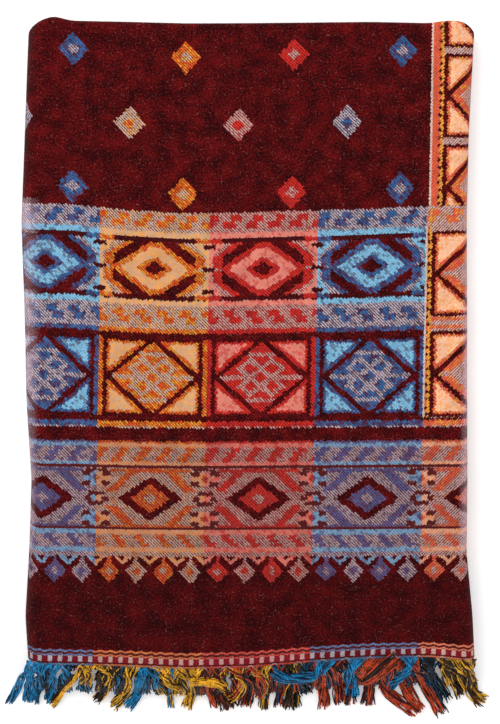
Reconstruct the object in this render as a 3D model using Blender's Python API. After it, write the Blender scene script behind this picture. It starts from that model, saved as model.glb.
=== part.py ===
# Folded fringed throw blanket: one woven cloth, folded twice along its length and then
# in thirds across its width, with the knotted locks of its two fringed ends.
# Units are metres. +X runs across the folded stack, +Y from the fringe to the top fold,
# +Z up. The origin is on the ground under the middle of the whole part.
import math
from bisect import bisect_right

import bmesh
import bpy
from mathutils import Matrix, Vector

MM = 0.001

# The cloth and how closely its layers lie
CLOTH = 2.4 * MM                  # thickness of the brushed cloth
PITCH = 3.0 * MM                  # from one layer to the next
LAYERS = 4                        # layers in the bundle that two crosswise folds make
BUNDLE = LAYERS * PITCH
STACK = 3 * BUNDLE                # the bundle is then folded in thirds
UNDERSIDE = (PITCH - CLOTH) / 2   # height of the cloth's lowest face in the neat stack

# The folded stack, before its edges are made uneven
WIDTH = 418 * MM
LENGTH = 601 * MM
LEFT_FOLD = 1.5 * BUNDLE          # outer radius of the fold that wraps the whole stack
RIGHT_FOLD = BUNDLE               # outer radius of the fold round the tucked third
LEFT_AXIS = -WIDTH / 2 + LEFT_FOLD
RIGHT_AXIS = WIDTH / 2 - RIGHT_FOLD
LOWER_THIRD_END = 186 * MM        # selvedge of the bottom third, near the right side
MIDDLE_THIRD_END = -176 * MM      # selvedge of the tucked third, near the left side
LOWER_FOLD_INSET = 7 * MM         # the crosswise fold at the fringe end lies back this far
INNER_FOLD_INSET = 1.5 * MM       # the nested fold stops this far short of the outer one
END_SLOPE = 10 * MM               # the lowest layers end this far behind the top ones

# How finely the cloth is divided round its folds
LEFT_FOLD_STEPS = 7
RIGHT_FOLD_STEPS = 6
OUTER_FOLD_STEPS = 5
SMALL_FOLD_STEPS = 4
FOLDS = {
    # outer radius, axis across the stack, height of the axis, turn at its start, steps
    "left": (LEFT_FOLD, LEFT_AXIS, STACK / 2, 0, LEFT_FOLD_STEPS),
    "right": (RIGHT_FOLD, RIGHT_AXIS, 2 * BUNDLE, math.pi, RIGHT_FOLD_STEPS),
}

# Uneven outline, in mm. The cloth is divided at each row, so that its layers keep apart.
ROW_TABLE = (
    # height above the fringe edge, left side's shift, right side's shift
    (0, 0.5, 4.7),
    (40, -0.2, 1.8),
    (100, 3.0, -2.3),
    (170, 2.7, -2.8),
    (245, -0.5, -3.8),
    (330, -3.4, -3.8),
    (415, -5.2, -3.8),
    (500, -1.0, -2.0),
    (601, 2.2, 2.8),
)
COLUMN_TABLE = (
    # distance right of the middle, rise of the top edge, rise of the fringe edge
    (-209, -9.0, -1.9),
    (-198, -2.0, -1.9),
    (-184, 5.0, -1.9),
    (-168, 1.4, -2.2),
    (-120, 0.0, -3.4),
    (-60, -0.8, -6.2),
    (0, -0.4, -4.7),
    (60, 0.2, 0.8),
    (110, 0.9, 4.2),
    (165, -0.6, 5.4),
    (185, 1.8, 3.6),
    (197, 0.6, 2.2),
    (209, -8.5, 0.9),
)
SWELL_TABLE = (
    # centre to the right, centre above the fringe edge, radius, rise of the top face
    (-150, 90, 90, 1.6),
    (-30, 60, 110, -1.4),
    (120, 120, 100, 1.2),
    (-120, 330, 120, 1.5),
    (60, 300, 130, -1.5),
    (150, 470, 110, 1.4),
    (-60, 520, 110, -1.2),
    (-196, 560, 40, 2.0),
    (205, 590, 45, -3.0),
    (-208, 300, 60, -2.0),
)

# The fringe: locks of knotted warp ends on a narrow strip along each fringed edge
STRIP_GAP = 0.4 * MM
STRIP_DEPTH = 2.4 * MM
STRIP_THICK = 1.6 * MM
ROOT_WIDTH = 7 * MM
ROOT_CLEARANCE = 4.2 * MM         # no station of the strip is nearer a root's middle
LOCK_WIDTH = 6.4 * MM
LOCK_THICK = 5.4 * MM
KNOT_WIDTH = 7.6 * MM
KNOT_THICK = 6.2 * MM

TOP_LOCKS_A = (
    # root right of the middle, tip right of the root, reach from the edge
    (-184, -7, 43),
    (-164, -5, 41),
    (-143, -6, 42),
    (-122, -3, 40),
    (-101, -4, 43),
    (-79, -1, 42),
    (-57, -2, 41),
    (-35, 1, 40),
    (-13, -1, 42),
    (9, 2, 41),
    (31, 1, 43),
    (53, 3, 42),
    (75, 2, 43),
    (97, 5, 44),
    (119, 5, 47),
    (141, 8, 50),
    (162, 10, 50),
    (183, 13, 44),
)
TOP_LOCKS_B = (
    # root right of the middle, tip right of the root, reach from the edge
    (-174, -6, 40),
    (-153.5, -5, 38),
    (-132.5, -5, 37),
    (-111.5, -3, 36),
    (-90, -3, 39),
    (-68, -1, 36),
    (-46, -1, 36),
    (-24, 0, 38),
    (-2, 0, 36),
    (20, 2, 38),
    (42, 2, 36),
    (64, 3, 38),
    (86, 3, 40),
    (108, 5, 42),
    (130, 7, 45),
    (151.5, 9, 47),
    (172.5, 12, 42),
)
FOLD_LOCKS_A = (
    # which fold, step round it, tip right of the root, reach from the edge
    ("left", 3, -18, 42),
    ("left", 5, -4, 41),
    ("right", 2, 8, 40),
)
LEAN_CURVE = 1.5                  # how late in its reach a lock leans to its tip
HIDDEN_LOCK_PITCH = 22 * MM
HIDDEN_LOCK_REACH = 23 * MM
HIDDEN_LOCK_SPLAY = 13 * MM
HIDDEN_ROOT_A = 14 * MM           # first root of a hidden row, from where its third starts
HIDDEN_ROOT_B = 25 * MM

TOP_PROFILE = (
    # share of the reach, share of the fall, share of the knot, slope in degrees
    (0.13, 0.02, 0.6, 10),
    (0.32, 0.10, 1.0, 35),
    (0.56, 0.42, 0.0, 55),
    (0.78, 0.93, 0.0, 45),
    (0.88, 1.00, 0.3, 0),
    (1.00, 1.00, 0.0, 0),
)
LOW_PROFILE = (
    # share of the reach, share of the fall, share of the knot, slope in degrees
    (0.18, 0.50, 0.3, 0),
    (0.40, 1.00, 1.0, 0),
    (0.70, 1.00, 0.0, 0),
    (1.00, 1.00, 0.2, 0),
)

CLOTH_COLOUR = (0.115, 0.010, 0.014, 1.0)
CLOTH_ROUGHNESS = 0.95
UPPER_YARN_COLOUR = (0.30, 0.13, 0.03, 1.0)
LOWER_YARN_COLOUR = (0.03, 0.16, 0.30, 1.0)
YARN_ROUGHNESS = 0.5
SHARP_ANGLE = 50                  # degrees between faces, past which an edge looks sharp


def clear_scene():
    """Removes the objects of the startup scene."""
    for obj in list(bpy.data.objects):
        bpy.data.objects.remove(obj)


def fabric(name, colour, roughness):
    """A plain cloth finish."""
    material = bpy.data.materials.new(name)
    material.use_nodes = True
    shader = material.node_tree.nodes["Principled BSDF"]
    shader.inputs["Base Color"].default_value = colour
    shader.inputs["Roughness"].default_value = roughness
    shader.inputs["Metallic"].default_value = 0.0
    return material


def rows_around(table, at):
    """The rows of a table before and after a place, and how far between them it is."""
    at = min(max(at / MM, table[0][0]), table[-1][0])
    after = min(bisect_right([row[0] for row in table], at), len(table) - 1)
    low, high = table[after - 1], table[after]
    return low, high, (at - low[0]) / (high[0] - low[0])


def straight(table, column, at):
    """Reads a column of millimetres in straight lines from row to row."""
    low, high, share = rows_around(table, at)
    return (low[column] + (high[column] - low[column]) * share) * MM


def stations(table, start, end):
    """A table's places from one place to another, with both of these included."""
    places = [row[0] * MM for row in table]
    inside = [at for at in places if min(start, end) < at < max(start, end)]
    return [start, *sorted(inside, reverse=end < start), end]


def swell(x, y):
    """Rise of the top face over the flat stack at a place."""
    rise = 0.0
    for centre_x, centre_y, radius, height in SWELL_TABLE:
        across = (x / MM - centre_x) / radius
        along = (y / MM - centre_y) / radius
        rise += height * MM * math.exp(-(across * across + along * along))
    return rise


def settled(point):
    """Where a point of the neat, straight-sided stack lies in the real, uneven one."""
    x, y, z = point
    side = (x + WIDTH / 2) / WIDTH
    height = y / LENGTH
    left = straight(ROW_TABLE, 1, y)
    right = straight(ROW_TABLE, 2, y)
    moved_x = x + left + (right - left) * side
    top = straight(COLUMN_TABLE, 1, x)
    fringe = straight(COLUMN_TABLE, 2, x)
    slope = END_SLOPE * (1 - z / STACK) * (1 - height)
    moved_y = y + fringe + (top - fringe) * height + slope
    moved_z = (z - UNDERSIDE) * (1 + swell(x, y) / STACK)
    return Vector((moved_x, moved_y, moved_z))


def of_kind(geometry, kind):
    """The items of one kind in what an operator made."""
    return [item for item in geometry if isinstance(item, kind)]


def verts_of(geometry):
    """The points in what an operator made."""
    return of_kind(geometry, bmesh.types.BMVert)


def extrude_edge(bm, edge):
    """Draws one edge out into a quad. Returns the far edge and its two points."""
    made = bmesh.ops.extrude_edge_only(bm, edges=[edge])["geom"]
    points = verts_of(made)
    far = [new for new in of_kind(made, bmesh.types.BMEdge) if set(new.verts) == set(points)]
    return far[0], points


def extrude_faces(bm, faces):
    """Draws a section out. Returns its faces at the far end and their points."""
    edges = list(dict.fromkeys(edge for face in faces for edge in face.edges))
    made = bmesh.ops.extrude_face_region(bm, geom=faces + edges)["geom"]
    return of_kind(made, bmesh.types.BMFace), verts_of(made)


def push_edge(bm, edge, places):
    """Carries the section's end from the first place along the cloth to each other."""
    for before, after in zip(places, places[1:]):
        edge, points = extrude_edge(bm, edge)
        bmesh.ops.translate(bm, verts=points, vec=(0, after - before, 0))
    return edge


def turn_edge(bm, edge, centre, angle, steps):
    """Turns the section's end about a line along X, as a crosswise fold does."""
    step = Matrix.Rotation(angle / steps, 3, "X")
    for _ in range(steps):
        edge, points = extrude_edge(bm, edge)
        bmesh.ops.rotate(bm, verts=points, cent=centre, matrix=step)
    return edge


def push_faces(bm, faces, places):
    """Carries a section from the first place along X to each of the others."""
    for before, after in zip(places, places[1:]):
        faces, points = extrude_faces(bm, faces)
        bmesh.ops.translate(bm, verts=points, vec=(after - before, 0, 0))
    return faces


def turn_faces(bm, faces, fold):
    """Turns a section half round a line along Y, as a lengthwise fold does."""
    _, axis_x, axis_z, _, steps = FOLDS[fold]
    step = Matrix.Rotation(math.pi / steps, 3, "Y")
    for _ in range(steps):
        faces, points = extrude_faces(bm, faces)
        bmesh.ops.rotate(bm, verts=points, cent=(axis_x, 0, axis_z), matrix=step)
    return faces


def layer_height(layer):
    """Height of a layer's middle in the lowest third, counted from the outer layer."""
    return (layer + 0.5) * PITCH


def folded_section(bm):
    """The bundle's back-and-forth section at the selvedge of the lowest third."""
    x = LOWER_THIRD_END
    outer_fold = LENGTH - BUNDLE / 2
    inner_fold = outer_fold - INNER_FOLD_INSET
    lower_fold = LOWER_FOLD_INSET + PITCH
    lower_axis = (layer_height(2) + layer_height(3)) / 2
    low = bm.verts.new((x, 0, layer_height(0) - CLOTH / 2))
    high = bm.verts.new((x, 0, layer_height(0) + CLOTH / 2))
    edge = bm.edges.new((low, high))
    edge = push_edge(bm, edge, stations(ROW_TABLE, 0, outer_fold))
    edge = turn_edge(bm, edge, (x, outer_fold, BUNDLE / 2), math.pi, OUTER_FOLD_STEPS)
    edge = push_edge(bm, edge, stations(ROW_TABLE, outer_fold, lower_fold))
    edge = turn_edge(bm, edge, (x, lower_fold, lower_axis), math.pi, SMALL_FOLD_STEPS)
    edge = push_edge(bm, edge, stations(ROW_TABLE, lower_fold, inner_fold))
    edge = turn_edge(bm, edge, (x, inner_fold, BUNDLE / 2), -math.pi, SMALL_FOLD_STEPS)
    push_edge(bm, edge, stations(ROW_TABLE, inner_fold, 0))
    return bm.faces[:]


def sweep_thirds(bm, faces, lower, top, middle):
    """Carries a section along the lowest third, over the top and into the tucked third."""
    faces = push_faces(bm, faces, lower)
    faces = turn_faces(bm, faces, "left")
    faces = push_faces(bm, faces, top)
    faces = turn_faces(bm, faces, "right")
    push_faces(bm, faces, middle)


def finish_object(name, bm, material):
    """Makes the object from its mesh, closed and facing out."""
    bmesh.ops.recalc_face_normals(bm, faces=bm.faces[:])
    mesh = bpy.data.meshes.new(name)
    bm.to_mesh(mesh)
    bm.free()
    mesh.materials.append(material)
    mesh.shade_smooth()
    mesh.set_sharp_from_angle(angle=math.radians(SHARP_ANGLE))
    obj = bpy.data.objects.new(name, mesh)
    bpy.context.scene.collection.objects.link(obj)
    return obj


def make_blanket():
    """The whole cloth, from its section swept through the fold in thirds."""
    bm = bmesh.new()
    sweep_thirds(
        bm,
        folded_section(bm),
        stations(COLUMN_TABLE, LOWER_THIRD_END, LEFT_AXIS),
        stations(COLUMN_TABLE, LEFT_AXIS, RIGHT_AXIS),
        stations(COLUMN_TABLE, RIGHT_AXIS, MIDDLE_THIRD_END),
    )
    for vert in bm.verts:
        vert.co = settled(vert.co)
    return finish_object("blanket", bm, fabric("brushed_wool", CLOTH_COLOUR, CLOTH_ROUGHNESS))


def hidden_roots(start, end, first):
    """Root places, in order, along a third whose locks lie under the others."""
    direction = 1 if end > start else -1
    count = int((abs(end - start) - first - ROOT_WIDTH) / HIDDEN_LOCK_PITCH) + 1
    return [start + direction * (first + i * HIDDEN_LOCK_PITCH) for i in range(count)]


def strip_stations(start, end, roots):
    """The column stations of a third, with both sides of each root among them."""
    sides = [root + side * ROOT_WIDTH / 2 for root in roots for side in (-1, 1)]
    inside = stations(COLUMN_TABLE, start, end)[1:-1]
    kept = [x for x in inside if all(abs(x - root) > ROOT_CLEARANCE for root in roots)]
    return [start, *sorted(sides + kept, reverse=end < start), end]


def strip_section(bm, layer):
    """The strip's small oblong section, just off the edge of the given layer."""
    x = LOWER_THIRD_END
    middle = layer_height(layer)
    far, near = -STRIP_GAP - STRIP_DEPTH, -STRIP_GAP
    low, high = middle - STRIP_THICK / 2, middle + STRIP_THICK / 2
    corners = ((far, low), (near, low), (near, high), (far, high))
    return [bm.faces.new([bm.verts.new((x, y, z)) for y, z in corners])]


def front_face(bm, x, z):
    """The face on the strip's outer side whose middle is nearest a place."""
    target = Vector((x, -STRIP_GAP - STRIP_DEPTH, z))
    return min(bm.faces, key=lambda face: (face.calc_center_median() - target).length)


def lock_axes(angle, slope):
    """Directions across a lock and through it, where it slopes down by some degrees."""
    turn = Matrix.Rotation(math.radians(slope), 3, "X") @ Matrix.Rotation(angle, 3, "Y")
    return turn @ Vector((-1, 0, 0)), turn @ Vector((0, 0, -1))


def grow_lock(bm, face, angle, tip, reach, rest, profile):
    """Draws a lock out of its root face, falling until it rests at a given height."""
    root = face.calc_center_median()
    centre = root
    across, through = lock_axes(angle, 0)
    square = round(angle / math.pi * 2) * math.pi / 2
    upright = round(angle / math.pi * 2) % 2 == 1
    for out, fall, knot, slope in profile:
        width = LOCK_WIDTH + (KNOT_WIDTH - LOCK_WIDTH) * knot
        thick = LOCK_THICK + (KNOT_THICK - LOCK_THICK) * knot
        reach_across = (thick if upright else width) / 2
        reach_through = (width if upright else thick) / 2
        resting = rest + thick / 2
        height = max(resting, root.z + (resting - root.z) * fall)
        ring = Vector((root.x + tip * out**LEAN_CURVE, root.y - reach * out, height))
        new_across, new_through = lock_axes(square, slope)
        faces, points = extrude_faces(bm, [face])
        for vert in points:
            offset = vert.co - centre
            side = math.copysign(reach_across, offset.dot(across))
            front = math.copysign(reach_through, offset.dot(through))
            vert.co = ring + new_across * side + new_through * front
        face = faces[0]
        centre, across, through = ring, new_across, new_through


def lock_plans(layer, top_locks, fold_locks, lower_roots, middle_roots):
    """Each lock's root, direction round the folds, tip, reach, resting height and shape."""
    height = layer_height(layer)
    over = KNOT_THICK + STRIP_GAP
    plans = []
    for x in lower_roots:
        splay = HIDDEN_LOCK_SPLAY * x / (WIDTH / 2)
        plans.append((x, height, 0, splay, HIDDEN_LOCK_REACH, 0, LOW_PROFILE))
    for x in middle_roots:
        splay = HIDDEN_LOCK_SPLAY * x / (WIDTH / 2)
        z = BUNDLE + height
        plans.append((x, z, 2 * math.pi, splay, HIDDEN_LOCK_REACH, over, LOW_PROFILE))
    for x, tip, reach in top_locks:
        z = STACK - height
        plans.append((x * MM, z, math.pi, tip * MM, reach * MM, 0, TOP_PROFILE))
    for fold, step, tip, reach in fold_locks:
        outer, axis_x, axis_z, start, steps = FOLDS[fold]
        angle = start + math.pi * (step + 0.5) / steps
        x = axis_x - (outer - height) * math.sin(angle)
        z = axis_z - (outer - height) * math.cos(angle)
        plans.append((x, z, angle, tip * MM, reach * MM, 0, TOP_PROFILE))
    return plans


def make_fringe(name, layer, top_locks, fold_locks, first_root, colour):
    """One fringed end: its strip through all three thirds, and the locks on it."""
    lower_roots = hidden_roots(LOWER_THIRD_END, LEFT_AXIS, first_root)
    middle_roots = hidden_roots(RIGHT_AXIS, MIDDLE_THIRD_END, first_root)
    top_roots = [row[0] * MM for row in top_locks]
    bm = bmesh.new()
    sweep_thirds(
        bm,
        strip_section(bm, layer),
        strip_stations(LOWER_THIRD_END, LEFT_AXIS, lower_roots),
        strip_stations(LEFT_AXIS, RIGHT_AXIS, top_roots),
        strip_stations(RIGHT_AXIS, MIDDLE_THIRD_END, middle_roots),
    )
    plans = lock_plans(layer, top_locks, fold_locks, lower_roots, middle_roots)
    faces = [front_face(bm, x, z) for x, z, *_ in plans]
    for vert in bm.verts:
        vert.co = settled(vert.co)
    for face, (_, _, *shape) in zip(faces, plans):
        grow_lock(bm, face, *shape)
    return finish_object(name, bm, fabric(name + "_yarn", colour, YARN_ROUGHNESS))


def centre_on_floor(objects):
    """Moves every mesh so that the whole part's box stands on the origin."""
    points = [vert.co for obj in objects for vert in obj.data.vertices]
    low = Vector(min(point[axis] for point in points) for axis in range(3))
    high = Vector(max(point[axis] for point in points) for axis in range(3))
    middle = (low + high) / 2
    for obj in objects:
        obj.data.transform(Matrix.Translation((-middle.x, -middle.y, -low.z)))


def main():
    clear_scene()
    blanket = make_blanket()
    upper = make_fringe(
        "fringe_upper_end", 0, TOP_LOCKS_A, FOLD_LOCKS_A, HIDDEN_ROOT_A, UPPER_YARN_COLOUR
    )
    lower = make_fringe(
        "fringe_lower_end", 1, TOP_LOCKS_B, (), HIDDEN_ROOT_B, LOWER_YARN_COLOUR
    )
    centre_on_floor([blanket, upper, lower])


main()
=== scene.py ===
# %% [markdown]
# # A fringed throw blanket, folded and laid on a table
#
# The real thing is a woollen throw of about 1.22 by 2.4 m: one tapestry-woven cloth, brushed
# on its face, whose warp ends are knotted into a fringe at both ends. It has been folded
# twice along its length and then in thirds, so that twelve layers lie on each other.
# The measured solids come from the packed frame. This script dresses them: it weaves the
# cloth and ties the fringe in the same place.

import math

import bmesh
import bpy
import numpy as np
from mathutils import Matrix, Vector


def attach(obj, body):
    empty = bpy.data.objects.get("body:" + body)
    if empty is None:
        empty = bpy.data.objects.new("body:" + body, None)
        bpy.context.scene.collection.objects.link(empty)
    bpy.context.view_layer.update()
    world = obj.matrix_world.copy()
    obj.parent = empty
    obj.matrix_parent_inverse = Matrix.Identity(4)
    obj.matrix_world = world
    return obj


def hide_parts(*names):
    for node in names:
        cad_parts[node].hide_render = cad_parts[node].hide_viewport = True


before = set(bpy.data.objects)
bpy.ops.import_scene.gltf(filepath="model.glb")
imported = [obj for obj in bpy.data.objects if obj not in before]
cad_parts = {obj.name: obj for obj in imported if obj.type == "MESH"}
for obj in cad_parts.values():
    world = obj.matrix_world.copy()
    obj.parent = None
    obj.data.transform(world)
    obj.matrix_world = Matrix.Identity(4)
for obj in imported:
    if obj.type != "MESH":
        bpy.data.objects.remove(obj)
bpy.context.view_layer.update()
print("CAD nodes:", sorted(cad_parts))

# %% [markdown]
# ## The folded stack in numbers
#
# A folded cloth could be simulated, but a real folded throw is pressed flat and its layers
# are known: the way the cloth runs through its folds is exact geometry. So the cloth is
# measured first as a neat stack, with straight sides and round folds, and is then
# settled into the uneven outline of the real one.

# %% Sizes of the neat stack
MM = 0.001
CLOTH = 2.4 * MM
PITCH = 3.0 * MM
BUNDLE = 4 * PITCH
STACK = 3 * BUNDLE
UNDERSIDE = (PITCH - CLOTH) / 2
WIDTH = 418 * MM
LENGTH = 601 * MM
LEFT_FOLD = 1.5 * BUNDLE
RIGHT_FOLD = BUNDLE
LEFT_AXIS = -WIDTH / 2 + LEFT_FOLD
RIGHT_AXIS = WIDTH / 2 - RIGHT_FOLD
LOWER_THIRD_END = 186 * MM
MIDDLE_THIRD_END = -176 * MM
OUTER_FOLD_AT = LENGTH - BUNDLE / 2
INNER_FOLD_AT = OUTER_FOLD_AT - 1.5 * MM
LOWER_FOLD_AT = 7 * MM + PITCH
END_SLOPE = 10 * MM
ROW_FRAME = Vector((2.546 * MM, -277.853 * MM, 0))
print(f"stack of 12 layers, {STACK / MM:.0f} mm high")

# %% How the settled outline differs from the neat one, in mm
ROW_TABLE = np.array([
  # above the fringe edge, left side's shift, right side's shift
    (0, -3.3, 3.2),
    (40, -5.8, 1.2),
    (100, -2.2, -4.4),
    (170, 0.0, -3.6),
    (245, -4.8, -3.8),
    (330, -6.6, -3.8),
    (415, -9.6, -4.2),
    (500, -6.4, -2.4),
    (601, -2.6, 3.4),
]) * MM
COLUMN_TABLE = np.array([
  # right of the middle, rise of the top edge, rise of the fringe edge
    (-209, -2.0, -1.9),
    (-198, 4.0, -1.9),
    (-184, 9.0, -1.9),
    (-168, 4.4, -2.2),
    (-120, 3.5, -3.4),
    (-60, 2.0, -6.2),
    (0, 2.2, -4.7),
    (60, 2.7, 0.8),
    (110, 3.2, 4.2),
    (165, 2.2, 5.4),
    (185, 5.2, 3.6),
    (197, 4.2, 2.2),
    (209, -3.5, 0.9),
]) * MM
SWELL_TABLE = np.array([
  # centre to the right, centre above the fringe edge, radius, rise of the top face
    (-150, 90, 90, 1.6),
    (-30, 60, 110, -1.4),
    (120, 120, 100, 1.2),
    (-120, 330, 120, 1.5),
    (60, 300, 130, -1.5),
    (150, 470, 110, 1.4),
    (-60, 520, 110, -1.2),
    (-196, 560, 40, 2.0),
    (205, 590, 45, -3.0),
    (-208, 300, 60, -2.0),
]) * MM
print(f"outline read at {len(ROW_TABLE)} heights and {len(COLUMN_TABLE)} places across")


# %% Read a table smoothly, and settle points of the neat stack
def smooth(table, column, at, blur=5 * MM):
    """A column of the table, read at many places, with its corners rounded off."""
    steps = np.linspace(-blur, blur, 5)
    return sum(np.interp(at + step, table[:, 0], table[:, column]) for step in steps) / 5


def swell(x, y):
    """Rise of the top face over the flat stack."""
    rise = 0
    for centre_x, centre_y, radius, height in SWELL_TABLE:
        rise = rise + height * np.exp(-((x - centre_x) ** 2 + (y - centre_y) ** 2) / radius**2)
    return rise


def settled(x, y, z):
    """Points of the neat stack, moved to where they lie in the real, uneven one."""
    side = (x + WIDTH / 2) / WIDTH
    height = y / LENGTH
    left, right = smooth(ROW_TABLE, 1, y), smooth(ROW_TABLE, 2, y)
    top, fringe = smooth(COLUMN_TABLE, 1, x), smooth(COLUMN_TABLE, 2, x)
    slope = END_SLOPE * (1 - z / STACK) * (1 - height)
    return np.stack([
        x + left + (right - left) * side + ROW_FRAME.x,
        y + fringe + (top - fringe) * height + slope + ROW_FRAME.y,
        (z - UNDERSIDE) * (1 + swell(x, y) / STACK),
    ], -1)


print(f"middle of the top face {settled(0.0, LENGTH / 2, STACK)[2] / MM:.1f} mm up")


# %% [markdown]
# ## Following the cloth through its folds
#
# Two walks describe the fold. Along its length the cloth runs back and forth four times:
# flat, round a fold, flat again. Across its width the whole bundle then wraps round the
# left side, over the top, and back under at the right. Each walk gives a place for every
# distance that it has gone, so any thread of the cloth can be found again in the stack.

# %% Walk along the length: back and forth in the bundle
LAYER = [(layer + 0.5) * PITCH for layer in range(4)]
FIRST_FOLD, SMALL_FOLD = BUNDLE / 2 - LAYER[0], PITCH / 2
LENGTH_WALK = [
  # start (y, height), direction in y, radius of a fold or 0, turn of a fold, how far
    ((0, LAYER[0]), 1, 0, 0, OUTER_FOLD_AT),
    ((OUTER_FOLD_AT, BUNDLE / 2), 1, FIRST_FOLD, 1, math.pi * FIRST_FOLD),
    ((OUTER_FOLD_AT, LAYER[3]), -1, 0, 0, OUTER_FOLD_AT - LOWER_FOLD_AT),
    ((LOWER_FOLD_AT, LAYER[2] + SMALL_FOLD), -1, SMALL_FOLD, -1, math.pi * SMALL_FOLD),
    ((LOWER_FOLD_AT, LAYER[2]), 1, 0, 0, INNER_FOLD_AT - LOWER_FOLD_AT),
    ((INNER_FOLD_AT, BUNDLE / 2), 1, SMALL_FOLD, -1, math.pi * SMALL_FOLD),
    ((INNER_FOLD_AT, LAYER[1]), -1, 0, 0, INNER_FOLD_AT),
]
CLOTH_LENGTH = sum(leg[-1] for leg in LENGTH_WALK)
ROWS_OF_LEG = (118, 10, 26, 6, 24, 6, 24)  # steps on each leg, most where it shows
print(f"{CLOTH_LENGTH:.3f} m of cloth along the bundle")


def along_length(leg, share, proud):
    """The y and height in the bundle, so far along a leg and so far out of the face."""
    (y, height), way, radius, turn, reach = LENGTH_WALK[leg]
    if radius == 0:
        return y + way * reach * share, height - way * proud + 0 * share
    angle = math.pi * share
    out = radius + proud * way * turn
    return y + way * out * np.sin(angle), height - turn * out * np.cos(angle)


# %% Walk across the width: round the whole stack in thirds
LEFT_TURN, RIGHT_TURN = math.pi * (LEFT_FOLD - LAYER[0]), math.pi * (RIGHT_FOLD - LAYER[0])
WIDTH_WALK = [
  # from x, to x, fold's outer radius, its axis height, turn at the start, how far
    (LOWER_THIRD_END, LEFT_AXIS, 0, 0, 0, LOWER_THIRD_END - LEFT_AXIS),
    (LEFT_AXIS, LEFT_AXIS, LEFT_FOLD, STACK / 2, 0, LEFT_TURN),
    (LEFT_AXIS, RIGHT_AXIS, 0, STACK, math.pi, RIGHT_AXIS - LEFT_AXIS),
    (RIGHT_AXIS, RIGHT_AXIS, RIGHT_FOLD, 2 * BUNDLE, math.pi, RIGHT_TURN),
    (RIGHT_AXIS, MIDDLE_THIRD_END, 0, BUNDLE, 2 * math.pi, RIGHT_AXIS - MIDDLE_THIRD_END),
]
COLUMNS_OF_LEG = (20, 18, 84, 14, 18)


def across_width(leg, share, height):
    """The x and z in the stack, so far along a leg and so high in the bundle."""
    start, end, radius, axis, turn, _ = WIDTH_WALK[leg]
    angle = turn + (math.pi * share if radius else 0 * share)
    foot_x = start + (end - start) * share - radius * np.sin(angle)
    foot_z = axis - radius * np.cos(angle)
    return foot_x + height * np.sin(angle), foot_z + height * np.cos(angle)


def stations(legs, counts):
    """Each station of a walk as its leg, its share of the leg, and the distance gone."""
    found, gone = [(0, 0.0, 0.0)], 0.0
    for leg, (row, count) in enumerate(zip(legs, counts)):
        found += [(leg, i / count, gone + row[-1] * i / count) for i in range(1, count + 1)]
        gone += row[-1]
    return found


ROWS = stations(LENGTH_WALK, ROWS_OF_LEG)
COLUMNS = stations(WIDTH_WALK, COLUMNS_OF_LEG)
GONE_ALONG = np.array([row[2] for row in ROWS])
TOP_THIRD = sum(leg[-1] for leg in WIDTH_WALK[:2])
print(f"{len(COLUMNS)} columns and {len(ROWS)} rows of stations")


# %% [markdown]
# ## Where the design lies on the cloth
#
# The woven design has to follow the cloth round its folds, so it reads a UV map and not
# the object's own axes. The map counts in metres of woven design: columns from the left,
# rows from the fringe. Real cloth never lies quite square, so the map also holds the small
# drifts of this one: its columns lean a little, and its bands rise and dip as they cross.

# %% The drifts of the design, in picks
PICK = 0.94 * MM  # one step of the chart, about a weft thread
MIDDLE_PICK = 251.0  # the column at the middle of the stack
EDGE_PICK = 662.9  # the fringe edge, counted down from above the top fold
BASE_PICK = 668  # where the rows of the chart are counted up from
UPRIGHT_PICK = 317  # the leaning columns are in their place here
LEVEL_EDGE = -5.1  # how far the edge's own rise is taken out of the heading
DRIFT_TABLE = np.array([
  # column, how far the bands dip there
    (28, -8.5), (72, -7), (127, -1.5), (185, 2), (240, 1),
    (300, -1), (349, -2), (407, -4.5), (470, -6),
])
# How much of the dip, and of the edge's own rise, is left at a row counted from the top
DRIFT_FADE = np.array([(0, 1), (210, 1), (300, 0.8), (425, 0.25), (550, 0.2), (668, 0)])
EDGE_FADE = np.array([(560, 0), (580, 0.13), (610, 0.5), (640, 0.87), (660, 1)])
LEAN = 0.019  # how far the columns lean for each pick down
# The left side is pulled outward, by picks at a column and by a share at a row from the top.
PULL_TABLE = np.array([(28, 4.5), (72, 4.5), (150, 0)])
PULL_FADE = np.array([(50, 1), (190, 0.6), (260, 0.2), (320, 0)])


def design_places(column):
    """The design's column and row, in picks, at all the rows of one column of stations."""
    x = LEFT_AXIS + COLUMNS[column][2] - TOP_THIRD
    level = np.clip(x, -WIDTH / 2, WIDTH / 2)
    y = np.minimum(GONE_ALONG, OUTER_FOLD_AT)
    left, right = smooth(ROW_TABLE, 1, y), smooth(ROW_TABLE, 2, y)
    shift = left + (right - left) * (level + WIDTH / 2) / WIDTH
    fringe = smooth(COLUMN_TABLE, 2, level)
    rise = smooth(COLUMN_TABLE, 1, level) - fringe
    across = (x + shift) / PICK + MIDDLE_PICK
    down = EDGE_PICK - (y + fringe + rise * y / LENGTH) / PICK
    dip = np.interp(across, *DRIFT_TABLE.T) * np.interp(down, *DRIFT_FADE.T)
    pull = np.interp(across, *PULL_TABLE.T) * np.interp(down, *PULL_FADE.T)
    edge = (LEVEL_EDGE - fringe / PICK) * np.interp(down, *EDGE_FADE.T)
    beyond = (GONE_ALONG - y) / PICK
    across = across + LEAN * (down - UPRIGHT_PICK) + pull
    return across, BASE_PICK - (down - dip - edge) + beyond


first_row, *_, last_row = design_places(len(COLUMNS) // 2)[1]
print(f"the middle column shows rows {first_row:.0f} to {last_row:.0f} of the design")


# %% [markdown]
# ## The cloth
#
# The cloth is a grid, one square for each step of the two walks, and a second grid for its
# back. The grid operator gives the faces; each corner is then carried to its place in the
# stack. Bridging the two rims closes it into one thin sheet, with selvedges as thick as
# the wool. It lies 0.6 mm from its neighbours at every layer, so nothing cuts through.

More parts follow.
